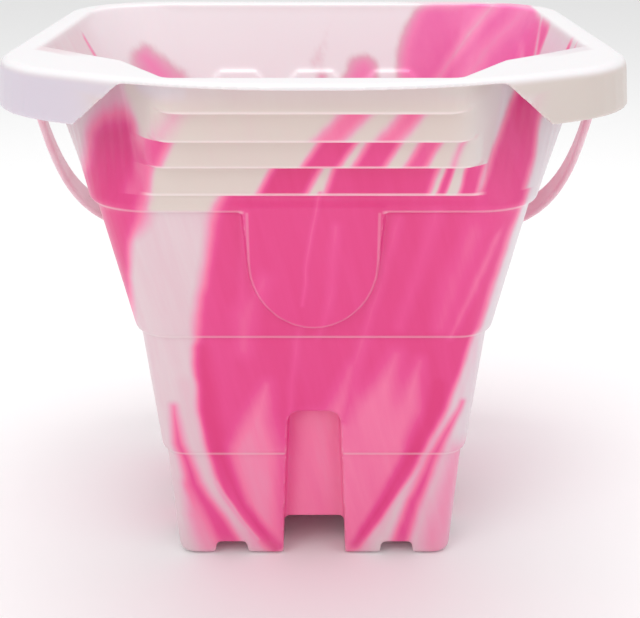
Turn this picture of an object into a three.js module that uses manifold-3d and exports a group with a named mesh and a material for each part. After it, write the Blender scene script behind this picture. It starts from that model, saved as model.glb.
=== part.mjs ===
// Castle-mould sand bucket: one moulded body with flange and apron, one swinging strap bail.
// Millimetres, +Z up, front (stair side) towards -Y, origin under the middle of the whole part.
import * as THREE from 'three';
import { ConvexGeometry } from 'three/addons/geometries/ConvexGeometry.js';
import { mergeVertices } from 'three/addons/utils/BufferGeometryUtils.js';
import Module from 'manifold-3d';

const wasm = await Module();
wasm.setup();
const { Manifold } = wasm;

// ---- driving dimensions ----
const WALL = 2;              // moulded wall
const RIM_Z = 241.5;         // top of the flange
const EDGE = 2.6;            // rounding height at the lower edge of a tier
const ROUNDING = [[0, 0.75], [0.3, 0.25], [1, 0]];   // shape of a rounding: [up, inwards], in its heights
const FEET = { z: 56, rise: 62 };   // height of the lowest ledge, and from each ledge to the next
const LEDGE = [2, 1, 0].map((k) => FEET.z + k * FEET.rise);
const TIER = [               // [half width at top, at bottom, corner radius top, bottom]
  [122, 97.5, 45, 30],
  [94, 81, 25, 17],
  [78.5, 72, 15, 12],
  [70, 66, 11, 8],
];
const CHAMFER = { from: 74, to: 121.5, reach: 165, bow: 0.5 };   // front corners, at x - y = reach
// Steps, top one first: lower edges, the top one's front face, then run and gain in half width per step.
const STAIR = { z: [227, 214, 201.5, 188], y: -127.5, run: 9.2, half: 58, spread: 3.8 };
const STEP_EDGE = 2.2;       // rounding of a step's lower edge
const STEP_CORNER = 4;       // softening of a step's upright corners
const STEP_TURN = [[-1, 0], [-0.3, 0.3], [0.4, 1]];   // shape of that corner: [across, back], in its size
const STEP_DRAFT = 0.16;     // step faces lean out by this much per mm of height
const STEP_SIDE = 0.52;      // side faces of the stair block, x per y
// Door tongue: lowest point, height of its half ellipse, half widths there and at the ledge, relief.
const TONGUE = { low: 124.5, round: 32.5, half: 28, halfTop: 30, out: 3.4 };
// Door recess in each side: heights of its ends, half widths, depth of its back wall from the axis.
const ARCH = { top: 79.5, floor: 17.5, halfTop: 12, halfLow: 14.5, faceTop: 66, faceLow: 60, r: 4.5 };
const GAP_HALF = 15;         // half width of the gaps between the towers at the bottom
const TOWER = 40;            // tower centre from the axis
const NOTCH = { depth: 6.5, top: 7, low: 8, flare: 1 };   // battlement cut in each side of a tower
// Recessed windows high in the back wall: spacing, half width, heights, depth and softened corners.
const WINDOW = { pitch: 43, half: 11.5, low: 183, top: 204.5, depth: 3, corner: 4 };
const FLANGE_T = 2.4;
const FLANGE = [             // corners of the flange's right half, front to back: [x, y, radius]
  [47, -145.5, 150],
  [132, -95, 60],
  [132, 134, 48],
];
const FLANGE_STEPS = 96;     // points round the flange
const SHOULDER = { down: 4, inward: 4.2, steps: 4 };   // rounding of the flange's upper edge
const APRON_Z = 221.5;       // bottom of the apron
const APRON_T = 2.2;
const APRON_FLARE = 1.5;
const APRON_FILLET = [[APRON_T, 0], [0.8, 0.8], [0, 2.6]];   // [below the flange, further in]
const APRON_CUT = { low: 94, high: 73 };   // half widths of the open front, at the apron's foot and top
const PIVOT = { y: 0, z: 229.5, hole: 4, pin: 3.7, head: 5.2, collar: 5 };
const PIN_X = { head: [127, 129.4], collar: 134.2 };   // reach of the pin parts along X
const BOSS = { r: 6, faceR: 5.2, face: 0.8 };          // round end of an arm, with a raised face
const CENTRE_Y = 4.8;        // moves the whole part so its box is centred front to back
const BAIL_DROP = 45;        // degrees below level, towards the back
const BAIL = { half: 139.7, reach: 168, power: 5 };    // squared arch of the strap's centre line
const BAIL_PINCH = { by: 2.2, until: 90 };             // arms draw in towards the pins
const BAIL_STEPS = 72;
const BAIL_T = 4;            // strap thickness, in the plane of the arch
const BAIL_W = [7, 12.5];     // strap width on the arms and across the grip
const BAIL_WIDEN = [0.35, 0.85];   // parts of the reach between which it widens
const BAIL_EDGE = 1.1;       // bevel along the strap

// ---- helpers ----
const CORNER = 10;           // segments per rounded corner
const OVERLAP = 0.5;         // how far joined bodies run into each other
const CUT = 1;               // how far a cut runs past the face that it opens
const INNER = 0.5;           // part of the wall's thickness that a rounding loses on its inside
const FAR = 95;              // beyond the walls that a low cut passes through
const OUTSIDE = 170;         // beyond the flange
const INSIDE = -60;          // how far the front's added bodies reach into the hollow
const BELOW = -5;            // under the tower ends
const lerp = (a, b, t) => a + (b - a) * t;

// Solid for cutting and joining, from a closed geometry.
function solid(geometry) {
  geometry.deleteAttribute('normal');
  geometry.deleteAttribute('uv');
  const g = mergeVertices(geometry, 1e-4);
  return new Manifold(new wasm.Mesh({
    numProp: 3,
    vertProperties: new Float32Array(g.attributes.position.array),
    triVerts: new Uint32Array(g.index.array),
  }));
}

function squareRing(half, r) {
  const pts = [];
  for (const [sx, sy, a0] of [[1, -1, -90], [1, 1, 0], [-1, 1, 90], [-1, -1, 180]]) {
    for (let i = 0; i <= CORNER; i++) {
      const a = (a0 + 90 * i / CORNER) * Math.PI / 180;
      pts.push([sx * (half - r) + r * Math.cos(a), sy * (half - r) + r * Math.sin(a)]);
    }
  }
  return pts;
}

// Opening outline: rounded back corners, slightly bowed chamfers at the front.
function rimRing(off) {
  const [half, , r] = TIER[0];
  const ring = squareRing(half - off, r - off);
  for (let i = 0; i <= CORNER; i++) {
    const t = i / CORNER, near = t < 0.5;
    const along = lerp(CHAMFER.from, CHAMFER.to, t);
    const x = along - off * (near ? 0.5 : 1) + CHAMFER.bow * Math.sin(Math.PI * t);
    const y = along - CHAMFER.reach + off * (near ? 1 : 0.5);
    ring[i] = [x, y];
    ring[4 * CORNER + 3 - i] = [-x, y];
  }
  return ring;
}

// Closed solid from rings of equal length, listed bottom to top.
function loft(rings) {
  const n = rings[0].pts.length, verts = [], tris = [];
  for (const { z, pts } of rings) for (const [x, y] of pts) verts.push(x, y, z);
  for (let k = 0; k + 1 < rings.length; k++) {
    for (let i = 0; i < n; i++) {
      const j = (i + 1) % n, a = k * n + i, b = k * n + j;
      tris.push(a, b, b + n, a, b + n, a + n);
    }
  }
  const lo = verts.length / 3, top = (rings.length - 1) * n;
  const mid = (pts) => [0, 1].map((c) => pts.reduce((s, p) => s + p[c], 0) / n);
  verts.push(...mid(rings[0].pts), rings[0].z);
  verts.push(...mid(rings.at(-1).pts), rings.at(-1).z);
  for (let i = 0; i < n; i++) {
    const j = (i + 1) % n;
    tris.push(lo, j, i, lo + 1, top + i, top + j);
  }
  return solid(new THREE.BufferGeometry()
    .setAttribute('position', new THREE.Float32BufferAttribute(verts, 3)).setIndex(tris));
}

const hull = (pts) => solid(new ConvexGeometry(pts.map((p) => new THREE.Vector3(...p))));

// Round bar along X between x0 and x1, on the pins' axis.
function rodX(r, x0, x1, n = 24) {
  const bar = new THREE.CylinderGeometry(r, r, Math.abs(x1 - x0), n);
  return solid(bar.rotateZ(Math.PI / 2).translate((x0 + x1) / 2, PIVOT.y, PIVOT.z));
}

const quarters = (part) => Manifold.union([0, 90, 180, 270].map((a) => part.rotate([0, 0, a])));

// Closed ring of the flange: a polygon of its corners and their mirror images, each one filleted.
function flangeRing() {
  const left = FLANGE.toReversed().map(([x, y, r]) => [-x, y, r]);
  const corners = [...FLANGE, ...left];
  const path = new THREE.Path();
  corners.forEach(([x, y, r], i) => {
    const here = new THREE.Vector2(x, y);
    const ends = [corners.at(i - 1), corners[(i + 1) % corners.length]];
    const [back, on] = ends.map(([a, b]) => new THREE.Vector2(a, b).sub(here).normalize());
    const half = Math.acos(back.dot(on)) / 2;
    const start = here.clone().addScaledVector(back, r / Math.tan(half));
    const centre = here.clone().addScaledVector(back.clone().add(on).normalize(), r / Math.sin(half));
    const turn = start.clone().sub(centre).angle();
    path.absarc(centre.x, centre.y, r, turn, turn + Math.PI - 2 * half, false);
  });
  path.closePath();
  return path.getSpacedPoints(FLANGE_STEPS).slice(0, -1).map((p) => [p.x, p.y]);
}

function grown(pts, d) {
  const n = pts.length;
  return pts.map(([x, y], i) => {
    const a = pts[(i + n - 1) % n], b = pts[(i + 1) % n];
    const tx = b[0] - a[0], ty = b[1] - a[1], l = Math.hypot(tx, ty);
    return [x + d * ty / l, y - d * tx / l];
  });
}

// ---- the body, as a solid envelope shrunk by `off` ----
function tiers(off) {
  const rings = [];
  const low = [off, ...LEDGE.slice().reverse().map((z) => z + off)];   // bottoms, feet first
  for (let k = 3; k >= 0; k--) {
    const [wTop, wLow, rTop, rLow] = TIER[k];
    const z0 = low[3 - k], z1 = k ? low[4 - k] : RIM_Z + (off ? CUT : 0);
    const edge = EDGE - off * INNER, shrunk = off * INNER;
    for (const [up, inwards] of ROUNDING) {
      rings.push({ z: z0 + edge * up, pts: squareRing(wLow - off - edge * inwards, rLow - shrunk) });
    }
    rings.push({ z: z1, pts: k ? squareRing(wTop - off, rTop - shrunk) : rimRing(off) });
  }
  return loft(rings);
}

function stairs(off) {
  const rim = RIM_Z + (off ? CUT : 0);
  return Manifold.union(STAIR.z.map((z, k) => {
    const z0 = z + off, front = STAIR.y + k * STAIR.run + off;
    const zTop = k ? STAIR.z[k - 1] + off + 2 * STEP_EDGE : rim;
    const half = STAIR.half + k * STAIR.spread - off * Math.hypot(1, STEP_SIDE);
    const edge = STEP_EDGE - off * INNER, corner = STEP_CORNER - off * INNER;
    const plan = (y, w, z) => {
      const turn = STEP_TURN.map(([across, back]) => [w + corner * across, y + corner * back]);
      return [...turn, [w + STEP_SIDE * (INSIDE - y), INSIDE]].flatMap(([a, b]) => [[a, b, z], [-a, b, z]]);
    };
    return hull([
      ...ROUNDING.flatMap(([up, inwards]) =>
        plan(front + edge * inwards, half - edge * inwards, z0 + edge * up)),
      ...plan(front - STEP_DRAFT * (zTop - z0 - edge), half, zTop),
    ]);
  }));
}

// Door tongue: straight sides on a half ellipse, standing parallel to the face of tier two.
function tongue(off) {
  const [wTop, wLow] = TIER[1], T = TONGUE;
  const out = T.out - off, z1 = LEDGE[0] + EDGE + OVERLAP, z0 = LEDGE[1] + off;
  const face = -(lerp(wTop, wLow, (LEDGE[0] - z1) / (LEDGE[0] - LEDGE[1])) + out);
  const slab = hull([-wLow, wLow].flatMap((x) => [[x, face, z1], [x, -(wLow + out), z0],
    [x, INSIDE, z1], [x, INSIDE, z0]]));
  const sides = [T.halfTop, -T.halfTop].map((x) => [x - Math.sign(x) * off, z1]);
  const round = Array.from({ length: 2 * CORNER + 1 }, (_, i) => {
    const a = Math.PI * i / (2 * CORNER);
    return [(T.half - off) * Math.cos(a), T.low + T.round - (T.round - off) * Math.sin(a)];
  });
  const shape = hull([...sides, ...round].flatMap(([x, z]) => [[x, -OUTSIDE, z], [x, INSIDE, z]]));
  return Manifold.intersection([shape, slab]);
}

// Solid through the whole bucket, front to back, between pairs of [half width, height].
const tunnel = (profile) => hull(profile.flatMap(([w, z]) =>
  [[w, -FAR, z], [-w, -FAR, z], [w, FAR, z], [-w, FAR, z]]));

function pockets(off) {
  const A = ARCH, N = NOTCH, low = A.halfLow + off;
  const bar = tunnel([[GAP_HALF + off, 0], [GAP_HALF + off, BELOW], [low, A.floor + off]]);
  const top = A.top + off, half = A.halfTop + off;
  const face = (z) => -lerp(A.faceLow, A.faceTop, (z - A.floor) / (A.top - A.floor)) + off;
  const profile = [[low, BELOW], [low, A.floor + off], [half, top - A.r],
    [half - A.r * 0.3, top - A.r * 0.3], [half - A.r, top]];
  const arch = hull(profile.flatMap(([w, z]) =>
    [[w, face(z), z], [-w, face(z), z], [w, -FAR, z], [-w, -FAR, z]]));
  const arm = tunnel([[N.low + N.flare + off, BELOW], [N.low + off, 0], [N.top + off, N.depth + off]]);
  const notches = [-TOWER, TOWER].flatMap((d) => [arm.translate([d, 0, 0]),
    arm.rotate([0, 0, 90]).translate([0, d, 0])]);
  return Manifold.union([bar, bar.rotate([0, 0, 90]), quarters(arch), ...notches]);
}

function windows(off) {
  const W = WINDOW, half = W.half + off, low = W.low - off, top = W.top + off;
  const wall = (z) => lerp(TIER[0][1], TIER[0][0], (z - LEDGE[0]) / (RIM_Z - LEDGE[0]));
  const pane = [[half, low + W.corner], [half - W.corner, low], [half, top - W.corner],
    [half - W.corner, top]];
  const one = hull(pane.flatMap(([x, z]) => [-x, x].flatMap((side) =>
    [[side, wall(z) - W.depth - off, z], [side, OUTSIDE, z]])));
  return Manifold.union([-1, 0, 1].map((k) => one.translate([k * W.pitch, 0, 0])));
}

function envelope(off) {
  const body = Manifold.union([tiers(off), stairs(off), tongue(off)]);
  return body.subtract(pockets(off)).subtract(windows(off));
}

function flange(inner) {
  const ring = flangeRing(), S = SHOULDER;
  const edge = Array.from({ length: S.steps + 1 }, (_, i) => {
    const a = Math.PI / 2 * i / S.steps;
    return { z: RIM_Z - S.down * (1 - Math.sin(a)), pts: grown(ring, -S.inward * (1 - Math.cos(a))) };
  });
  const top = loft(edge.slice(1));
  const sides = loft([{ z: APRON_Z, pts: grown(ring, APRON_FLARE) }, ...edge.slice(0, 2)]);
  const under = RIM_Z - FLANGE_T;
  const hollow = loft([
    { z: APRON_Z - CUT, pts: grown(ring, APRON_FLARE - APRON_T) },
    ...APRON_FILLET.map(([down, inward]) => ({ z: under - down, pts: grown(ring, -APRON_T - inward) })),
  ]);
  const front = hull([[APRON_CUT.low, APRON_Z - CUT], [APRON_CUT.high, under]].flatMap(([w, z]) =>
    [[w, -OUTSIDE, z], [w, INSIDE, z], [-w, -OUTSIDE, z], [-w, INSIDE, z]]));
  const holes = Manifold.union([1, -1].map((side) => rodX(PIVOT.hole, side * TIER[0][0], side * OUTSIDE)));
  const apron = sides.subtract(hollow).subtract(front).subtract(holes);
  return Manifold.union([top, apron]).subtract(inner);
}

function bucketBody() {
  const inner = envelope(WALL);
  const shell = envelope(0).subtract(inner);
  return Manifold.union([shell, flange(inner)]);
}

// ---- the bail, built level and turned down about its pins ----
// Centre line of the strap: [across, away from the pins] for angles from one pin to the other.
function bailPoint(angle) {
  const c = Math.cos(angle), s = Math.sin(angle), p = BAIL.power;
  const r = ((Math.abs(c) / BAIL.half) ** p + (s / BAIL.reach) ** p) ** (-1 / p);
  const near = Math.max(0, 1 - r * s / BAIL_PINCH.until);
  return [r * c - Math.sign(c) * BAIL_PINCH.by * near ** 2, r * s];
}

// Rounded rectangle of the strap's section: [in the plane of the arch, across it].
function strapSection(width) {
  const t = BAIL_T / 2, w = width / 2, c = BAIL_EDGE;
  return [[-t, -w + c], [-t + c, -w], [t - c, -w], [t, -w + c],
    [t, w - c], [t - c, w], [-t + c, w], [-t, w - c]];
}

function strap() {
  const verts = [], tris = [], m = strapSection(1).length;
  const line = Array.from({ length: BAIL_STEPS + 1 }, (_, i) => bailPoint(Math.PI * i / BAIL_STEPS));
  line.forEach(([x, s], i) => {
    const [ax, as] = line[Math.max(i - 1, 0)], [bx, bs] = line[Math.min(i + 1, BAIL_STEPS)];
    const len = Math.hypot(bx - ax, bs - as), nx = (bs - as) / len, ns = (ax - bx) / len;
    const [from, to] = BAIL_WIDEN.map((part) => part * BAIL.reach);
    const k = Math.min(1, Math.max(0, (s - from) / (to - from)));
    for (const [u, v] of strapSection(lerp(...BAIL_W, k))) verts.push(x + nx * u, s + ns * u, v);
    if (!i) return;
    for (let j = 0; j < m; j++) {
      const a = (i - 1) * m + j, b = (i - 1) * m + (j + 1) % m;
      tris.push(a, b + m, b, a, a + m, b + m);
    }
  });
  const last = BAIL_STEPS * m;
  for (let j = 1; j + 1 < m; j++) tris.push(0, j, j + 1, last, last + j + 1, last + j);
  return solid(new THREE.BufferGeometry()
    .setAttribute('position', new THREE.Float32BufferAttribute(verts, 3)).setIndex(tris));
}

function bailHandle() {
  const arm = bailPoint(0)[0], x0 = arm - BAIL_T / 2, x1 = arm + BAIL_T / 2;
  const ends = [1, -1].flatMap((s) => [
    rodX(BOSS.r, s * x0, s * (x1 - BOSS.face), 32), rodX(BOSS.faceR, s * x0, s * x1, 32),
    rodX(PIVOT.collar, s * PIN_X.collar, s * (x0 + OVERLAP)),
    rodX(PIVOT.pin, s * (PIN_X.head[0] + OVERLAP), s * (x0 + OVERLAP)),
    rodX(PIVOT.head, s * PIN_X.head[0], s * PIN_X.head[1]),
  ]);
  const whole = Manifold.union([strap().translate([0, PIVOT.y, PIVOT.z]), ...ends]);
  return whole.translate([0, -PIVOT.y, -PIVOT.z]).rotate([-BAIL_DROP, 0, 0])
    .translate([0, PIVOT.y, PIVOT.z]);
}

// ---- scene ----
function toMesh(name, part, color, roughness) {
  const m = part.getMesh();
  const g = new THREE.BufferGeometry();
  g.setAttribute('position', new THREE.BufferAttribute(new Float32Array(m.vertProperties), 3));
  g.setIndex(new THREE.BufferAttribute(new Uint32Array(m.triVerts), 1));
  const mesh = new THREE.Mesh(g, new THREE.MeshStandardMaterial({ color, roughness }));
  mesh.name = name;
  return mesh;
}

const group = new THREE.Group();
group.name = 'castle_sand_bucket';
const place = (part) => part.translate([0, CENTRE_Y, 0]);
group.add(toMesh('bucket_body', place(bucketBody()), 0xf0a8bf, 0.28));
group.add(toMesh('bail_handle', place(bailHandle()), 0xe4b9c3, 0.3));
export default group;
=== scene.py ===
"""Castle-mould sand bucket in marbled pink and white plastic, with a pale strap bail."""
import math

import bpy
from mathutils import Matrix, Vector


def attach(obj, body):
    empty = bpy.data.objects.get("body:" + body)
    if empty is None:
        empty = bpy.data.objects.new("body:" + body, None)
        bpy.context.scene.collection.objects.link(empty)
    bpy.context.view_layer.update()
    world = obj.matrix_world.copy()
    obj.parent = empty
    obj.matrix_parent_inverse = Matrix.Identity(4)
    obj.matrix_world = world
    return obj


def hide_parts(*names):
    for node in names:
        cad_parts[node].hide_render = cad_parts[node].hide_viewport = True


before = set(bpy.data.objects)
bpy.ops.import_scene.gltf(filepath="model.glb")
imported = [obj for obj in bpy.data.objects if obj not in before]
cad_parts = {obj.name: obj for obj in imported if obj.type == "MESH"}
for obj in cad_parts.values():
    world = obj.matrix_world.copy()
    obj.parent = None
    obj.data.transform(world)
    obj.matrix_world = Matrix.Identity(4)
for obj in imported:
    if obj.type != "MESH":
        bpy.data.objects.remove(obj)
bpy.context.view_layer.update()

# ---- the bucket's own measures, in millimetres, with y counted from the pins ----
MM = 0.001
CENTRE_Y = 4.8          # the pins sit this far back of the box's middle
RIM_Z = 241.5
LOW_LEDGE = 56.0        # height of the lowest ledge
TIER_RISE = 62.0        # from each ledge to the next
LEDGES = tuple(LOW_LEDGE + k * TIER_RISE for k in range(3))
HALF_WIDTHS = (66.0, 71.0, 80.0, 97.0, 122.0)    # of the wall: at the feet, on each ledge, at the rim
TIER_HALF = tuple(zip((0.0, *LEDGES, RIM_Z), HALF_WIDTHS))
APRON_Z = 221.5         # foot of the flange's apron
STEP_Z = (RIM_Z, 227.0, 214.0, 201.5, 188.0)     # the stair's edges, from the rim down
STAIR_TOP_HALF, STAIR_SPREAD = 58.0, 3.8         # half width of the top riser, and gain per step
STAIR_HALF = tuple(STAIR_TOP_HALF + k * STAIR_SPREAD for k in range(4))
STAIR_Y = -92.0         # every riser stands in front of this
TONGUE_HALF = 28.0      # the door tongue: half width, height of its round end, lowest point
TONGUE_ROUND = 32.5
TONGUE_LOW = 124.5


def tier_z(height):
    """Height in millimetres of a place counted in tiers from the tower ends."""
    return height * LOW_LEDGE if height < 1.0 else LOW_LEDGE + (height - 1.0) * TIER_RISE


def half_width(z):
    """Half width of the wall at a height, in millimetres."""
    for (z0, w0), (z1, w1) in zip(TIER_HALF, TIER_HALF[1:]):
        if z <= z1:
            return w0 + (w1 - w0) * (z - z0) / (z1 - z0)
    return HALF_WIDTHS[-1]


def on_wall(across, height):
    """Point (x, z) in millimetres from a fraction of the half width and a height in tiers."""
    z = tier_z(height)
    return across * half_width(z), z


def srgb(r, g, b):
    """Linear colour from 0-255 display values."""
    def lin(c):
        c /= 255.0
        return c / 12.92 if c <= 0.04045 else ((c + 0.055) / 1.055) ** 2.4
    return (lin(r), lin(g), lin(b), 1.0)


# ---- moulded pieces: the CAD solid with every edge softened as in a mould ----
def bake(piece):
    """Applies the piece's modifiers."""
    graph = bpy.context.evaluated_depsgraph_get()
    mesh = bpy.data.meshes.new_from_object(piece.evaluated_get(graph))
    piece.modifiers.clear()
    piece.data = mesh


def thinned(piece, faces):
    """Brings the piece down to a face count, and keeps the fine surface's normals on it."""
    count = sum(len(p.vertices) - 2 for p in piece.data.polygons)
    if count <= faces:
        return
    fine = bpy.data.objects.new("fine", piece.data)
    bpy.context.scene.collection.objects.link(fine)
    thin = piece.modifiers.new("thin", "DECIMATE")
    thin.ratio = faces / count
    carry = piece.modifiers.new("normals", "DATA_TRANSFER")
    carry.object = fine
    carry.use_loop_data = True
    carry.data_types_loops = {"CUSTOM_NORMAL"}
    carry.loop_mapping = "POLYINTERP_NEAREST"
    bake(piece)
    bpy.data.meshes.remove(fine.data)


def moulded(name, node, body, voxel, smooth, faces):
    """The node's solid as a moulding: all edges softened, then thinned to a face count."""
    piece = bpy.data.objects.new(name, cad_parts[node].data.copy())
    bpy.context.scene.collection.objects.link(piece)
    piece.data.materials.clear()
    remesh = piece.modifiers.new("skin", "REMESH")
    remesh.mode = "VOXEL"
    remesh.voxel_size = voxel
    remesh.use_smooth_shade = True
    soft = piece.modifiers.new("soft", "SMOOTH")
    soft.factor = 0.5
    soft.iterations = smooth
    bake(piece)
    thinned(piece, faces)
    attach(piece, body)
    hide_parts(node)
    return piece


# ---- where the pink lies ----
# A streak is (pinkness, softness in mm, points); a point is (across, height in tiers, half width in mm),
# and across is a fraction of the wall's half width. The pinkness runs from 0 for white to 1 for the
# deepest pink. Later streaks lie over earlier ones.
LEFT_EDGE = (           # left boundary of the broad pink: height in tiers, fraction across
    (0.0, -0.2), (0.4, -0.56), (0.8, -0.68), (1.4, -0.72), (2.0, -0.65), (2.5, -0.55),
    (2.8, -0.48), (3.0, -0.43), (3.2, -0.34),
)
RIGHT_EDGE = (
    (0.0, 0.26), (0.5, 0.56), (1.0, 0.76), (1.5, 0.87), (2.0, 0.91), (3.0, 0.9), (4.0, 0.86),
)
STREAKS = (
    # pale lights in the lower half of the pink
    (0.56, 7, ((-0.28, 1.6, 1), (-0.35, 1.3, 6), (-0.39, 1.0, 12), (-0.4, 0.5, 11), (-0.35, 0.15, 7))),
    (0.60, 7, ((0.46, 1.85, 1), (0.38, 1.4, 9), (0.34, 1.0, 16), (0.3, 0.5, 13), (0.22, 0.1, 9))),
    (0.60, 6, ((0.6, 1.8, 1), (0.56, 1.4, 6), (0.42, 0.9, 9))),
    (0.64, 6, ((0.22, 1.75, 1), (0.18, 1.4, 6), (0.15, 1.2, 8))),
    (0.58, 7, ((0.0, 1.2, 10), (0.0, 0.2, 13))),
    # broad lighter washes and fine light lines through the strong pink
    (0.74, 6, ((-0.24, 2.5, 2), (-0.36, 2.2, 5), (-0.4, 1.9, 3))),
    (0.76, 5, ((0.72, 3.1, 3), (0.7, 2.5, 5), (0.68, 2.1, 4))),
    (0.68, 1.8, ((0.02, 3.15, 0.5), (-0.02, 2.7, 0.4), (-0.06, 2.3, 0.2))),
    (0.74, 3.0, ((-0.08, 2.1, 0.6), (-0.12, 1.6, 0.8), (-0.16, 1.2, 0.4))),
    (0.76, 3.0, ((0.1, 2.9, 1.5), (0.08, 2.4, 1.2), (0.02, 2.0, 0.6))),
    (0.78, 2.5, ((-0.3, 3.0, 1.0), (-0.34, 2.6, 1.4), (-0.38, 2.2, 0.8))),
    (0.78, 4.0, ((0.52, 3.0, 2.0), (0.5, 2.5, 2.6), (0.46, 2.1, 1.4))),
    (0.80, 3.5, ((0.3, 2.0, 0.8), (0.24, 1.6, 1.6), (0.2, 1.3, 1.0))),
    (0.74, 3.0, ((0.36, 2.95, 1.2), (0.32, 2.4, 1.4), (0.24, 1.8, 0.8))),
    (0.66, 3.0, ((0.84, 2.9, 1.2), (0.8, 2.4, 1.6), (0.76, 2.0, 1.0))),
    # deep pink beside the white on the lower left and the lower right
    (1.00, 4.0, ((-0.62, 1.9, 3.0), (-0.64, 1.4, 4.0), (-0.62, 1.0, 2.5), (-0.5, 0.5, 1.8),
                 (-0.3, 0.05, 2.4))),
    (1.00, 3.5, ((0.74, 1.6, 2.5), (0.68, 1.1, 2.5), (0.48, 0.5, 1.6), (0.3, 0.1, 1.4))),
    # lower left: a white streak, then a dark one outside it
    (0.20, 4.0, ((-0.76, 1.6, 4.0), (-0.77, 1.2, 3.0), (-0.71, 0.8, 1.6), (-0.62, 0.5, 0.4),
                 (-0.5, 0.25, 0.0))),
    (0.50, 5.0, ((-0.86, 0.7, 1.0), (-0.82, 0.4, 5.0), (-0.76, 0.1, 6.0))),
    (0.86, 4.0, ((-0.85, 1.42, 0.6), (-0.86, 1.1, 2.2), (-0.8, 0.7, 3.4), (-0.7, 0.35, 4.4),
                 (-0.62, 0.1, 5.5))),
    (0.35, 1.2, ((-0.66, 0.72, 0.7), (-0.55, 0.42, 0.6), (-0.42, 0.15, 0.4))),
    # lower right: a white streak, then a pink one outside it
    (0.20, 3.0, ((0.93, 2.0, 2.0), (0.9, 1.7, 3.0), (0.83, 1.35, 3.0), (0.73, 0.9, 2.2), (0.55, 0.45, 1.0),
                 (0.42, 0.15, 0.2))),
    (0.80, 3.5, ((0.9, 1.45, 0.4), (0.84, 1.2, 1.4), (0.8, 1.0, 2.4), (0.71, 0.55, 3.6), (0.62, 0.1, 4.2))),
    (0.42, 8.0, ((0.97, 1.0, 5.0), (0.9, 0.1, 10.0))),
)
LEFT_CORNER = (
    (0.40, 9.0, ((-0.66, 3.72, 4), (-0.72, 3.6, 8))),
    (0.90, 7.0, ((-0.70, 3.55, 6), (-0.77, 3.42, 12), (-0.81, 3.2, 15), (-0.86, 3.05, 15))),
    (0.92, 3.5, ((-0.92, 3.0, 14), (-1.05, 2.5, 13), (-1.12, 2.05, 10))),
)
RIGHT_CORNER = (
    (0.86, 3.5, ((0.79, 3.95, 6.5), (0.78, 3.6, 8), (0.78, 3.38, 9.5), (0.78, 3.0, 9.5))),
)
# Slanting bands on the risers, which are counted from the top one:
# (pinkness, softness in mm, riser, across at its top, across at its foot, half width in mm)
STAIR_BANDS = (
    (0.60, 4.0, 2, 0.28, 0.1, 4.5), (0.62, 4.0, 2, 0.62, 0.47, 4.0),
    (0.92, 3.0, 3, 0.17, 0.04, 6.0), (0.86, 3.0, 3, 0.45, 0.34, 5.5), (0.74, 3.0, 3, 0.73, 0.63, 4.0),
    (0.45, 2.5, 3, 0.92, 0.86, 1.6),
    (0.98, 3.0, 4, -0.09, -0.2, 8.5), (0.92, 3.0, 4, 0.43, 0.36, 20.0), (0.84, 1.5, 4, 0.81, 0.74, 1.8),
    (0.86, 2.0, 4, 0.96, 0.9, 3.6),
    (0.34, 6.0, 2, -0.84, -1.02, 4.5), (0.80, 4.0, 3, -0.95, -1.03, 6.0), (0.70, 3.5, 4, -1.0, -1.07, 5.0),
)
# Seen from the front on the inside of the back wall, and so on its outside as well.
BACK = (
    (0.70, 9, ((0.98, 4.0, 50), (0.98, 3.4, 58), (1.0, 2.9, 44), (0.95, 2.0, 26), (0.9, 1.0, 14),
               (0.7, 0.0, 8))),
    (0.84, 9, ((0.92, 3.7, 14), (0.84, 3.3, 26), (0.9, 2.9, 22))),
    (0.55, 8, ((0.25, 3.42, 7), (0.24, 3.2, 12), (0.12, 2.7, 8), (0.1, 2.2, 5))),
    (0.50, 6, ((0.04, 3.38, 2), (0.0, 3.1, 7), (-0.06, 2.4, 6))),
    (0.22, 8, ((0.06, 3.8, 2), (0.0, 3.5, 6))),
    (0.52, 10, ((-0.84, 3.55, 5), (-0.78, 3.3, 10), (-0.66, 2.9, 12), (-0.5, 1.6, 20), (-0.3, 0.6, 12),
               (-0.2, 0.0, 8))),
    (0.35, 4, ((0.82, 4.0, 2.5), (0.68, 3.5, 2.0), (0.56, 3.0, 1.2))),
    (0.45, 5, ((0.95, 4.0, 2.0), (0.84, 3.6, 3.0), (0.74, 3.1, 1.6))),
    (0.30, 2, ((0.8, 2.6, 2.0), (0.6, 1.6, 3.0), (0.5, 0.8, 1.5))),
)
# On the sides, `across` runs from the front (-1) to the back (1).
RIGHT_SIDE = (
    (0.82, 6, ((0.75, 4.0, 45), (0.7, 3.2, 44), (0.8, 2.4, 30), (0.75, 1.4, 20), (0.5, 0.4, 12))),
    (0.30, 3, ((0.95, 3.9, 2.0), (0.5, 3.5, 3.0), (0.2, 3.1, 1.5))),
    (0.30, 2.5, ((0.6, 4.0, 1.5), (0.3, 3.6, 2.5), (0.1, 3.3, 1.0))),
    (0.74, 2.5, ((-0.12, 4.0, 2.5), (-0.16, 3.4, 3.5), (-0.2, 2.6, 2.0), (-0.1, 1.8, 3.5), (0.0, 0.9, 2.0))),
    (0.66, 1.5, ((-0.22, 4.0, 0.8), (-0.26, 3.4, 1.2), (-0.32, 2.8, 0.6))),
    (0.70, 4, ((0.2, 2.0, 3), (0.1, 1.2, 9), (-0.1, 0.4, 12), (-0.3, 0.0, 8))),
)
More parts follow.
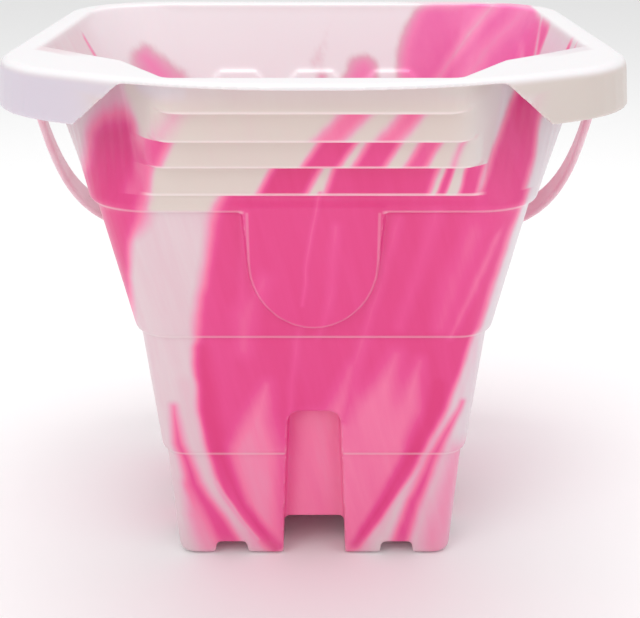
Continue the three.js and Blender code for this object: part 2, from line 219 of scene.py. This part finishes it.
LEFT_SIDE = (
    (0.74, 6, ((0.72, 3.2, 5), (0.66, 2.9, 12), (0.66, 2.6, 18), (0.5, 1.8, 15), (0.4, 0.9, 20),
               (0.3, 0.0, 14))),
    (0.78, 3, ((0.36, 3.85, 1.5), (0.44, 3.6, 3.0), (0.52, 3.35, 3.5), (0.58, 3.0, 2.0))),
    (0.85, 6, ((-0.95, 3.4, 22), (-0.95, 2.8, 20), (-0.95, 2.2, 13))),
    (0.70, 4, ((-0.2, 2.4, 2), (-0.3, 1.7, 8), (-0.45, 0.9, 9), (-0.4, 0.1, 12))),
    (0.20, 2.5, ((0.45, 2.4, 1.5), (0.5, 1.4, 3.0), (0.3, 0.5, 2.5))),
)

# ---- small node-tree language ----
class Graph:
    """Adds shader nodes to a tree. Apart from node, feed and split, a method returns one output socket."""

    def __init__(self, tree):
        self.tree = tree
        tree.nodes.clear()

    def node(self, kind, inputs=(), **settings):
        made = self.tree.nodes.new(kind)
        for key, value in settings.items():
            setattr(made, key, value)
        for slot, value in dict(inputs).items():
            self.feed(made.inputs[slot], value)
        return made

    def feed(self, socket, value):
        if isinstance(value, bpy.types.NodeSocket):
            self.tree.links.new(value, socket)
        else:
            socket.default_value = value

    def math(self, op, a, b=0.0, c=0.0):
        return self.node("ShaderNodeMath", {0: a, 1: b, 2: c}, operation=op).outputs[0]

    def plus(self, a, b):
        return self.math("ADD", a, b)

    def minus(self, a, b):
        return self.math("SUBTRACT", a, b)

    def times(self, a, b):
        return self.math("MULTIPLY", a, b)

    def over(self, a, b):
        return self.math("DIVIDE", a, b)

    def larger(self, a, b):
        return self.math("MAXIMUM", a, b)

    def rest(self, value):
        """What is left of 1."""
        return self.minus(1.0, value)

    def unit(self, value):
        """The value kept from 0 to 1. With the nodes' own clamps a graph of this size renders black."""
        return self.math("MINIMUM", self.larger(value, 0.0), 1.0)

    def raised(self, value, by, base):
        """The base with so much of the value added."""
        return self.math("MULTIPLY_ADD", value, by, base)

    def swing(self, noise, size):
        """A noise from 0 to 1 as a number of that size in all, half of it below zero."""
        return self.raised(noise, size, -size / 2.0)

    def vector(self, op, a, b, out=0):
        return self.node("ShaderNodeVectorMath", {0: a, 1: b}, operation=op).outputs[out]

    def scaled(self, a, by):
        return self.node("ShaderNodeVectorMath", {0: a, "Scale": by}, operation="SCALE").outputs[0]

    def ramp(self, value, lo, hi, to_lo=0.0, to_hi=1.0):
        """Smooth step from to_lo to to_hi while the value goes from lo to hi."""
        limits = {0: value, 1: lo, 2: hi, 3: to_lo, 4: to_hi}
        made = self.node("ShaderNodeMapRange", limits, interpolation_type="SMOOTHSTEP", clamp=False)
        return made.outputs[0]

    def fall(self, value, lo, hi):
        """Smooth step from 1 down to 0 while the value goes from lo to hi."""
        return self.ramp(value, lo, hi, 1.0, 0.0)

    def blend(self, a, b, factor):
        """Number that goes from a to b with the factor."""
        return self.math("MULTIPLY_ADD", self.minus(b, a), factor, a)

    def tint(self, a, b, factor):
        """Colour that goes from a to b with the factor."""
        made = self.node("ShaderNodeMix", {0: factor, 6: a, 7: b}, data_type="RGBA", blend_type="MIX")
        return made.outputs[2]

    def noise(self, vector, scale, detail=2.0, rough=0.5):
        """Noise from 0 to 1, its scale counted per millimetre."""
        inputs = {"Vector": vector, "Scale": scale, "Detail": detail, "Roughness": rough}
        return self.node("ShaderNodeTexNoise", inputs).outputs[0]

    def place(self, x, y, z=0.0):
        return self.node("ShaderNodeCombineXYZ", {0: x, 1: y, 2: z}).outputs[0]

    def split(self, vector):
        return self.node("ShaderNodeSeparateXYZ", {0: vector}).outputs

    def curve(self, value, points):
        """Number read off a smooth curve through (at, number) points, at from 0 to 1, number from -1 to 1."""
        made = self.node("ShaderNodeFloatCurve", {1: self.unit(value)})
        line = made.mapping.curves[0]
        for at, height in points[1:-1]:
            line.points.new(at, (height + 1.0) / 2.0)
        first, last = points[0], points[-1]
        line.points[0].location = (first[0], (first[1] + 1.0) / 2.0)
        line.points[len(line.points) - 1].location = (last[0], (last[1] + 1.0) / 2.0)
        made.mapping.update()
        return self.raised(made.outputs[0], 2.0, -1.0)


# ---- streaks ----
def dab_group():
    """Group: how far a point is covered by one stretch of a streak."""
    tree = bpy.data.node_groups.new("dab", "ShaderNodeTree")
    face = tree.interface
    for name, kind in (("P", "Vector"), ("A", "Vector"), ("B", "Vector"), ("WidthA", "Float"),
                       ("WidthB", "Float"), ("Soft", "Float"), ("Before", "Float")):
        face.new_socket(name, in_out="INPUT", socket_type="NodeSocket" + kind)
    face.new_socket("Cover", in_out="OUTPUT", socket_type="NodeSocketFloat")
    g = Graph(tree)
    given = g.node("NodeGroupInput").outputs
    from_a = g.vector("SUBTRACT", given["P"], given["A"])
    run = g.vector("SUBTRACT", given["B"], given["A"])
    along = g.vector("DOT_PRODUCT", from_a, run, 1)
    part = g.unit(g.over(along, g.vector("DOT_PRODUCT", run, run, 1)))
    away = g.vector("DISTANCE", from_a, g.scaled(run, part), 1)
    width = g.blend(given["WidthA"], given["WidthB"], part)
    beyond = g.minus(away, width)
    cover = g.fall(beyond, g.times(given["Soft"], -1.0), given["Soft"])
    out = g.node("NodeGroupOutput")
    g.tree.links.new(g.larger(cover, given["Before"]), out.inputs[0])
    return tree


def streak_cover(g, dab, spot, soft, places):
    """Cover of one streak along (x, z, half width) places, all in millimetres."""
    cover = 0.0
    for (x0, z0, w0), (x1, z1, w1) in zip(places, places[1:]):
        made = g.node("ShaderNodeGroup", node_tree=dab)
        values = {"P": spot, "A": (x0, z0, 0.0), "B": (x1, z1, 0.0), "WidthA": w0, "WidthB": w1,
                  "Soft": soft, "Before": cover}
        for name, value in values.items():
            g.feed(made.inputs[name], value)
        cover = made.outputs[0]
    return cover


def lay(g, dab, field, spot, streaks):
    """Lays streaks given on the wall over a pinkness."""
    for pink, soft, points in streaks:
        places = [(*on_wall(across, height), width) for across, height, width in points]
        field = g.blend(field, pink, streak_cover(g, dab, spot, soft, places))
    return field


def on_stair(g, y):
    """1 in front of the wall behind the stair, fading in over a few millimetres."""
    return g.ramp(y, STAIR_Y, STAIR_Y - STAIR_FADE)


def lay_bands(g, dab, field, spot, y, z):
    """Lays the stair's bands over a pinkness, each one only on its own riser."""
    in_front = on_stair(g, y)
    for riser in sorted({band[2] for band in STAIR_BANDS}):
        top, foot, half = STEP_Z[riser - 1], STEP_Z[riser], STAIR_HALF[riser - 1]
        above_foot = g.ramp(z, foot - RISER_FADE, foot + RISER_FADE)
        below_top = g.fall(z, top - RISER_FADE, top + RISER_FADE)
        own = g.times(g.times(above_foot, below_top), in_front)
        over = top - foot                     # the band runs on past both edges of its riser
        for pink, soft, number, at_top, at_foot, wide in STAIR_BANDS:
            if number != riser:
                continue
            lean = (at_top - at_foot) * half
            high = (at_top * half + lean, top + over, wide)
            low = (at_foot * half - lean, foot - over, wide)
            cover = g.times(own, streak_cover(g, dab, spot, soft, (high, low)))
            field = g.blend(field, pink, cover)
    return field


# ---- marbling ----
STAIR_FADE = 4.0                  # mm over which a mask in front of the stair's back comes in
RISER_FADE = 0.4                  # mm either side of a step's edge over which its bands end
STAIR_FOOT_FADE = 0.5             # the same at the stair's foot, where the broad pink starts
SWAY, SWAY_SCALE = 5.0, 0.02      # range in mm of the streaks' shift, and how fine it is
WISP, WISP_SCALE = 1.6, 0.07
# Fine drawn lines: how far they lean in x and y for each mm of height, and how far they are drawn out.
LEAN_X, LEAN_Y, STRETCH = 0.22, 0.18, 0.07
LINE_SCALE, CLOUD_SCALE = 0.16, 0.035
LINE_SIZE, CLOUD_SIZE = 0.16, 0.2               # how much they change the pinkness
PALE, STRONG = 0.14, 0.9                        # pinkness outside and inside the broad pink
PALE_BACK, PALE_RIGHT, PALE_LEFT = 0.03, 0.10, 0.08          # the same on the walls that it doesn't reach
EDGE_SOFT = (-0.05, 0.06), (-0.05, 0.05)        # the broad pink's left and right edges, in half widths
SIDE_FADE = (-10.0, 10.0)                       # x in mm where the left side's streaks give way
FRONT_FADE, BACK_FADE = (-0.72, -0.45), (0.55, 0.85)         # y in half widths
# Half width of the wall against height, both as parts of their value at the rim.
HALF_CURVE = tuple((z / RIM_Z, w / HALF_WIDTHS[-1]) for z, w in TIER_HALF)


def edge_curve(points):
    """Points of an edge of the broad pink, with their heights as parts of the rim's."""
    return tuple((min(tier_z(height) / RIM_Z, 1.0), across) for height, across in points)


def broad_pink(g, moved_x, z, level, half):
    """Pinkness of the front before its streaks: one broad pink area below the stair."""
    across = g.over(moved_x, half)
    left = g.curve(level, edge_curve(LEFT_EDGE))
    right = g.curve(level, edge_curve(RIGHT_EDGE))
    inside = g.times(g.ramp(g.minus(across, left), *EDGE_SOFT[0]),
                     g.ramp(g.minus(right, across), *EDGE_SOFT[1]))
    below_stair = g.fall(z, STEP_Z[4] - STAIR_FOOT_FADE, STEP_Z[4] + STAIR_FOOT_FADE)
    return g.blend(PALE, STRONG, g.times(inside, below_stair))


def marbling(g, here, x, y, z):
    """Pinkness of the plastic at a point in millimetres, its fine lines and the wall's half width there."""
    dab = dab_group()
    sway = g.swing(g.noise(here, SWAY_SCALE, 1.0), SWAY)
    wisp = g.swing(g.noise(here, WISP_SCALE, 1.0), WISP)
    shift = g.plus(sway, wisp)
    moved_x, moved_y = g.plus(x, shift), g.plus(y, shift)
    front_spot, side_spot = g.place(moved_x, z), g.place(moved_y, z)
    drawn = g.place(g.raised(z, LEAN_X, x), g.raised(z, LEAN_Y, y), g.times(z, STRETCH))
    lines = g.noise(drawn, LINE_SCALE, 4.0, 0.6)
    clouds = g.noise(drawn, CLOUD_SCALE, 2.0)

    level = g.over(z, RIM_Z)
    half = g.times(g.curve(level, HALF_CURVE), HALF_WIDTHS[-1])
    field = broad_pink(g, moved_x, z, level, half)
    field = lay(g, dab, field, front_spot, STREAKS + LEFT_CORNER + RIGHT_CORNER)
    field = lay_bands(g, dab, field, front_spot, y, z)

    back = lay(g, dab, PALE_BACK, front_spot, BACK)
    right_wall = lay(g, dab, PALE_RIGHT, side_spot, RIGHT_SIDE)
    left_wall = lay(g, dab, PALE_LEFT, side_spot, LEFT_SIDE)
    sides = g.blend(left_wall, right_wall, g.ramp(x, *SIDE_FADE))
    depth = g.over(y, half)
    field = g.blend(field, sides, g.ramp(depth, *FRONT_FADE))
    field = g.blend(field, back, g.ramp(depth, *BACK_FADE))
    field = g.plus(field, g.swing(lines, LINE_SIZE))
    return g.unit(g.plus(field, g.swing(clouds, CLOUD_SIZE))), lines, half


# ---- materials ----
PINKS = (               # pinkness, and its colour as 0-255 display values
    (0.00, (226, 216, 217)), (0.16, (223, 192, 201)), (0.36, (233, 160, 188)), (0.58, (242, 118, 164)),
    (0.80, (231, 68, 143)), (1.00, (221, 42, 122)),
)
# Tints that lie over the marbling, several of them painted light and shade, and the floor.
STAIR_CREAM = srgb(217, 205, 195)
# painted shade: the pale plastic greyer on the front's right side
SHADED_RIGHT_GREY = srgb(222, 220, 226)
# painted light on the flange's top, and painted shade on its apron, darkest on the right
LIT_RIM_WHITE = srgb(236, 233, 235)
SHADED_APRON_CREAM = srgb(210, 198, 190)
SHADED_APRON_LILAC = srgb(214, 204, 218)
# painted light on the inside of the back wall
LIT_MOUTH_PINK = srgb(248, 140, 210)
LIT_MOUTH_PALE = srgb(240, 233, 236)
# colour of the painted highlight laid along the moulded edges
EDGE_HIGHLIGHT_WHITE = srgb(255, 244, 243)
SANDED = srgb(205, 190, 188)
STRAP_PALE, STRAP_PINK = srgb(236, 200, 210), srgb(232, 176, 192)
FLOOR_WHITE = srgb(252, 252, 252)

PLASTIC = {             # set on the shader itself, the same all over
    "IOR": 1.5, "Coat Weight": 0.25, "Coat Roughness": 0.14, "Subsurface Weight": 0.12,
    "Subsurface Scale": 0.004, "Subsurface Radius": (1.0, 0.55, 0.65),
}
RELIEF = {"Strength": 0.5, "Distance": 0.00003}
ROUGH = 0.30            # least roughness, and what each cause adds to it at the most
ROUGH_DULL, ROUGH_SCRATCH, ROUGH_PEEL, ROUGH_FEET = 0.10, 0.08, 0.03, 0.25
PEEL_SCALE, DULL_SCALE, SCRATCH_SCALE, FEET_SCALE, WASH_SCALE = 0.35, 0.03, 1.6, 0.25, 0.03
SCRATCH_STRETCH = (0.5, 0.5, 0.035)              # scratches run up and down
SCRATCH_FROM = (0.66, 0.74)                      # noise above which there is a scratch
SCRATCH_DEPTH, PEEL_DEPTH = -0.5, 0.5            # heights, in the relief's distance
WASH = (0.3, 0.7)                                # noise over which the strap turns pinker

# Flange and apron. Each mask comes in between two places, in millimetres.
APRON_UP = (APRON_Z - 3.0, APRON_Z - 1.0)
PARTS_OF_FLANGE = (     # measure, where it comes in, heights between which it comes in
    ("beyond", (117.0, 121.0), APRON_UP),                            # sides and back
    ("corner", (204.0, 212.0), APRON_UP),                            # apron at the front corners
    ("corner", (172.0, 178.0), (RIM_Z - 12.0, RIM_Z - 5.0)),         # beside the mouth's front corners
    ("y", (-127.0, -130.0), (STEP_Z[1] - 1.0, STEP_Z[1] + 2.0)),     # lip over the top riser
    ("y", (-60.0, -80.0), (RIM_Z - 5.0, RIM_Z - 2.0)),               # flat top in front
)
# Painted highlight along a moulded edge: it comes in and goes out over these heights above the edge.
LINE_IN, LINE_OUT = (-0.4, 0.3), (0.6, 1.8)
# strength of the painted highlight on the ledges, the steps and the tongue's outline
LEDGE_HIGHLIGHT, STEP_HIGHLIGHT, TONGUE_HIGHLIGHT = 0.28, 0.6, 0.13
TONGUE_LINE = (0.95, 0.975), (0.99, 1.02)        # the tongue's outline, as parts of its half width
TONGUE_SIDE = (TONGUE_HALF, TONGUE_HALF + 2.0)
TONGUE_FRONT, BEHIND_TONGUE = (-60.0, -66.0), (-60.0, -50.0)         # y
STEP_END = 3.0                                   # a step's painted highlight ends so far either side of its corner
DOOR_SIDE = (12.5, 14.5)                         # half widths of the door recesses, which have no ledge
# Where the tints lie: each mask comes in between two places, in millimetres.
STAIR_FRONT_Y, ABOVE_LEDGE = (-90.0, -96.0), (LEDGES[2], LEDGES[2] + 2.0)
SHADED_RIGHT_X = (50.0, 80.0)
RIM_TOP = (RIM_Z - 4.0, RIM_Z - 1.0)
APRON_RIGHT_X, APRON_LEFT_X = (-20.0, 110.0), (-20.0, -110.0)
BACK_RIGHT_X, BACK_RIGHT_Y = (40.0, 60.0), (100.0, 112.0)
WELL_Y, WELL_WALL = (20.0, 90.0), (-0.8, -1.6)   # y, and y less the wall's half width: its inner face
FEET_Z = (14.0, 0.0)
# How pink the plastic is where a tint comes in, and how strong the tint is.
PALE_UNTIL = (0.15, 0.45)
STAIR_SHARE, SHADED_RIGHT_SHARE = 0.85, 0.6
SHADED_CREAM_SHARE, SHADED_LILAC_SHARE = (0.3, 0.9), (0.0, 0.9)
MOUTH_PINK_FROM, MOUTH_PINK_SHARE = (0.2, 0.6), (0.0, 0.4)
MOUTH_PALE_FROM, MOUTH_PALE_SHARE = (0.32, 0.1), (0.0, 0.95)
FLANGE_LINES = 0.06             # pinkness of the fine lines on the flange
BACK_RIGHT_THROUGH = 0.55       # share of the marbling that shows on the flange's back right corner
CONVEX, CONVEX_SHARE = (0.52, 0.6), (0.0, 0.45)  # pointiness that counts as an edge, for the painted highlight
SAND_SHARE = 0.25


def pinks(g, value):
    """Colour of a pinkness."""
    made = g.node("ShaderNodeValToRGB", {0: value})
    stops = made.color_ramp.elements
    while len(stops) < len(PINKS):
        stops.new(0.5)
    for stop, (at, colour) in zip(stops, PINKS):
        stop.position, stop.color = at, srgb(*colour)
    return made.outputs[0]


def plastic(g, colour, rough, bump_height):
    """Glossy translucent moulding with a finely uneven skin."""
    bump = g.node("ShaderNodeBump", {**RELIEF, "Height": bump_height}).outputs[0]
    inputs = {"Base Color": colour, "Roughness": rough, "Normal": bump}
    shader = g.node("ShaderNodeBsdfPrincipled", inputs)
    for name, value in PLASTIC.items():
        shader.inputs[name].default_value = value
    g.node("ShaderNodeOutputMaterial", {0: shader.outputs[0]})


def skin(g, here):
    """Roughness and bump height: fine mould texture, handling scratches and dull patches."""
    peel = g.noise(here, PEEL_SCALE, 1.0)
    scratch_spot = g.place(*[g.times(part, by) for part, by in zip(g.split(here), SCRATCH_STRETCH)])
    scratches = g.ramp(g.noise(scratch_spot, SCRATCH_SCALE, 2.0, 0.7), *SCRATCH_FROM)
    dull = g.noise(here, DULL_SCALE, 3.0)
    rough = g.raised(dull, ROUGH_DULL, ROUGH)
    rough = g.raised(scratches, ROUGH_SCRATCH, rough)
    rough = g.raised(peel, ROUGH_PEEL, rough)
    return rough, g.raised(scratches, SCRATCH_DEPTH, g.times(peel, PEEL_DEPTH))


def object_mm(g):
    """Object coordinates in millimetres, with y counted from the pins."""
    at = g.node("ShaderNodeTexCoord").outputs["Object"]
    return g.vector("SUBTRACT", g.scaled(at, 1.0 / MM), (0.0, CENTRE_Y, 0.0))


def flange_cover(g, x, y, z):
    """How far a point is on the flange and its apron, which are white."""
    side = g.math("ABSOLUTE", x)
    # "beyond" grows outwards to the sides and the back, "corner" towards the two front corners
    measures = {"beyond": g.larger(side, y), "corner": g.minus(side, y), "y": y}
    cover = 0.0
    for measure, place, heights in PARTS_OF_FLANGE:
        where = g.ramp(measures[measure], *place)
        cover = g.larger(cover, g.times(where, g.ramp(z, *heights)))
    return cover


def edge_highlight_line(g, z, edge, strength, where):
    """Painted highlight just above a level edge."""
    rise = g.ramp(z, edge + LINE_IN[0], edge + LINE_IN[1])
    fall = g.fall(z, edge + LINE_OUT[0], edge + LINE_OUT[1])
    return g.times(g.times(rise, fall), g.times(where, strength))


def tongue_highlight_line(g, x, y, z):
    """Painted highlight along the door tongue's outline: straight sides on a half ellipse, below the top
    ledge.
    """
    down = g.larger(g.minus(TONGUE_LOW + TONGUE_ROUND, z), 0.0)
    spot = g.place(g.over(x, TONGUE_HALF), g.over(down, TONGUE_ROUND))
    out = g.vector("LENGTH", spot, (0.0, 0.0, 0.0), 1)
    rim = g.times(g.ramp(out, *TONGUE_LINE[0]), g.fall(out, *TONGUE_LINE[1]))
    below_ledge = g.fall(z, LEDGES[2], LEDGES[2] + 1.0)
    on_front = g.times(below_ledge, g.ramp(y, *TONGUE_FRONT))
    return g.times(g.times(rim, on_front), TONGUE_HIGHLIGHT)


def painted_edge_highlight(g, x, y, z):
    """How much painted highlight a point gets on a moulded edge: the ledges, the steps and the tongue's
    outline.
    """
    front = on_stair(g, y)
    side = g.math("ABSOLUTE", x)
    beside_doors = g.ramp(g.math("MINIMUM", side, g.math("ABSOLUTE", y)), *DOOR_SIDE)
    beside_tongue = g.larger(g.ramp(side, *TONGUE_SIDE), g.ramp(y, *BEHIND_TONGUE))
    cover = 0.0
    for ledge, where in zip(LEDGES, (beside_doors, 1.0, beside_tongue)):
        cover = g.larger(cover, edge_highlight_line(g, z, ledge, LEDGE_HIGHLIGHT, where))
    for edge, half in zip(STEP_Z[1:], STAIR_HALF):
        on_riser = g.times(front, g.fall(side, half - STEP_END, half + STEP_END))
        cover = g.larger(cover, edge_highlight_line(g, z, edge, STEP_HIGHLIGHT, on_riser))
    return g.larger(cover, tongue_highlight_line(g, x, y, z))


def stair_cream_and_right_shade(g, colour, field, bare, x, y, z):
    """The pale plastic is cream on the stair, and painted shade turns it a cooler grey on the right."""
    riser = g.times(g.ramp(y, *STAIR_FRONT_Y), g.ramp(z, *ABOVE_LEDGE))
    riser = g.times(riser, bare)
    pale = g.fall(field, *PALE_UNTIL)
    colour = g.tint(colour, STAIR_CREAM, g.times(g.times(riser, pale), STAIR_SHARE))
    # painted shade on the pale plastic towards the right
    shaded_right = g.times(g.ramp(x, *SHADED_RIGHT_X), bare)
    return g.tint(colour, SHADED_RIGHT_GREY, g.times(g.times(shaded_right, pale), SHADED_RIGHT_SHARE))


def flange_light_and_shade(g, colour, skirt, x, z):
    """Painted light and shade on the white flange: whiter on top, and its apron painted darker, lilac on the
    left and a darker cream on the shaded right.
    """
    top = g.ramp(z, *RIM_TOP)
    colour = g.tint(colour, LIT_RIM_WHITE, g.times(skirt, top))
    # painted shade: the apron darker than the top
    apron = g.times(skirt, g.rest(top))
    cream = g.times(apron, g.ramp(x, *APRON_RIGHT_X, *SHADED_CREAM_SHARE))
    lilac = g.times(apron, g.ramp(x, *APRON_LEFT_X, *SHADED_LILAC_SHARE))
    return g.tint(g.tint(colour, SHADED_APRON_CREAM, cream), SHADED_APRON_LILAC, lilac)


def mouth_painted_light(g, colour, field, bare, y, half):
    """Painted light inside the back wall: the pink is painted lighter and more violet, and the white whiter.
    """
    well = g.times(g.ramp(y, *WELL_Y), g.ramp(g.minus(y, half), *WELL_WALL))
    lit = g.times(bare, well)
    pink = g.times(lit, g.ramp(field, *MOUTH_PINK_FROM, *MOUTH_PINK_SHARE))
    pale = g.times(lit, g.ramp(field, *MOUTH_PALE_FROM, *MOUTH_PALE_SHARE))
    return g.tint(g.tint(colour, LIT_MOUTH_PINK, pink), LIT_MOUTH_PALE, pale)


def marbled_plastic():
    material = bpy.data.materials.new("marbled_plastic")
    material.use_nodes = True
    g = Graph(material.node_tree)
    here = object_mm(g)
    x, y, z = g.split(here)
    field, lines, half = marbling(g, here, x, y, z)
    skirt = flange_cover(g, x, y, z)
    # some of the pink runs on over the flange's back right corner
    back_right = g.times(g.ramp(x, *BACK_RIGHT_X), g.ramp(y, *BACK_RIGHT_Y))
    skirt = g.times(skirt, g.raised(back_right, -BACK_RIGHT_THROUGH, 1.0))
    field = g.blend(field, g.times(lines, FLANGE_LINES), skirt)
    bare = g.rest(skirt)
    colour = stair_cream_and_right_shade(g, pinks(g, field), field, bare, x, y, z)
    colour = flange_light_and_shade(g, colour, skirt, x, z)
    colour = mouth_painted_light(g, colour, field, bare, y, half)
    # painted highlight along the moulded edges, where they catch the light
    point = g.node("ShaderNodeNewGeometry").outputs["Pointiness"]
    edges = g.larger(painted_edge_highlight(g, x, y, z), g.ramp(point, *CONVEX, *CONVEX_SHARE))
    colour = g.tint(colour, EDGE_HIGHLIGHT_WHITE, edges)
    rough, bump = skin(g, here)
    # feet rubbed dull and a little grey by sand
    feet = g.times(g.ramp(z, *FEET_Z), g.noise(here, FEET_SCALE, 4.0))
    colour = g.tint(colour, SANDED, g.times(feet, SAND_SHARE))
    plastic(g, colour, g.raised(feet, ROUGH_FEET, rough), bump)
    return material


def strap_plastic():
    material = bpy.data.materials.new("strap_plastic")
    material.use_nodes = True
    g = Graph(material.node_tree)
    here = object_mm(g)
    wash = g.noise(here, WASH_SCALE, 3.0)
    colour = g.tint(STRAP_PALE, STRAP_PINK, g.ramp(wash, *WASH))
    rough, bump = skin(g, here)
    plastic(g, colour, rough, bump)
    return material


# ---- stage, in metres ----
FLOOR_HALF = 6.0
FLOOR_GAP = 0.5 * MM            # keeps the floor clear of the tower ends
WORLD_LIGHT = 0.76
LAMPS = (                       # name, place, point it faces, width and height, watts
    ("key", (-0.9, -1.2, 1.2), (0.0, 0.0, 0.12), (0.9, 0.9), 5.0),
    ("fill", (1.2, -1.0, 0.7), (0.0, 0.0, 0.12), (1.2, 1.2), 2.5),
    ("top", (0.0, 0.2, 1.5), (0.0, 0.0, 0.2), (1.2, 0.8), 8.0),
)


def floor():
    mesh = bpy.data.meshes.new("floor")
    corners = [(a * FLOOR_HALF, b * FLOOR_HALF, 0) for a, b in ((-1, -1), (1, -1), (1, 1), (-1, 1))]
    mesh.from_pydata(corners, [], [(0, 1, 2, 3)])
    plane = bpy.data.objects.new("floor", mesh)
    bpy.context.scene.collection.objects.link(plane)
    plane.location.z = -FLOOR_GAP
    material = bpy.data.materials.new("floor_white")
    material.use_nodes = True
    g = Graph(material.node_tree)
    shader = g.node("ShaderNodeBsdfPrincipled", {"Base Color": FLOOR_WHITE, "Roughness": 0.9})
    g.node("ShaderNodeOutputMaterial", {0: shader.outputs[0]})
    mesh.materials.append(material)


def area_light(name, place, aim, size, watts):
    lamp = bpy.data.lights.new(name, "AREA")
    lamp.shape = "RECTANGLE"
    lamp.size, lamp.size_y = size
    lamp.energy = watts
    obj = bpy.data.objects.new(name, lamp)
    obj.location = place
    obj.rotation_euler = (Vector(aim) - Vector(place)).to_track_quat("-Z", "Y").to_euler()
    bpy.context.scene.collection.objects.link(obj)


def studio():
    """White surroundings with three soft lights."""
    bpy.context.scene.view_settings.view_transform = "Standard"
    world = bpy.data.worlds.new("studio")
    bpy.context.scene.world = world
    world.use_nodes = True
    back = world.node_tree.nodes["Background"]
    back.inputs[0].default_value = (1.0, 1.0, 1.0, 1.0)
    back.inputs[1].default_value = WORLD_LIGHT
    for lamp in LAMPS:
        area_light(*lamp)


# ---- camera: in front of the stair, looking a little down into the mouth ----
SENSOR = 36.0                   # mm
LENS = 70.5
EYE = (0.0028, -0.5941, 0.3200)
DOWN = 19.93                    # degrees below level


def camera():
    data = bpy.data.cameras.new("camera")
    data.sensor_width = SENSOR
    data.lens = LENS
    data.clip_start = 0.01
    obj = bpy.data.objects.new("camera", data)
    obj.location = EYE
    obj.rotation_euler = (math.radians(90.0 - DOWN), 0.0, 0.0)
    bpy.context.scene.collection.objects.link(obj)
    bpy.context.scene.camera = obj


# ---- the scene ----
camera()
SHELL_VOXEL = 1.0 * MM
bucket = moulded("bucket_shell", "bucket_body", "bucket",
                 voxel=SHELL_VOXEL, smooth=6, faces=190000)
bucket.data.materials.append(marbled_plastic())
bail = moulded("bail_strap", "bail_handle", "bail",
               voxel=0.6 * MM, smooth=8, faces=60000)
bail.data.materials.append(strap_plastic())
floor()
studio()
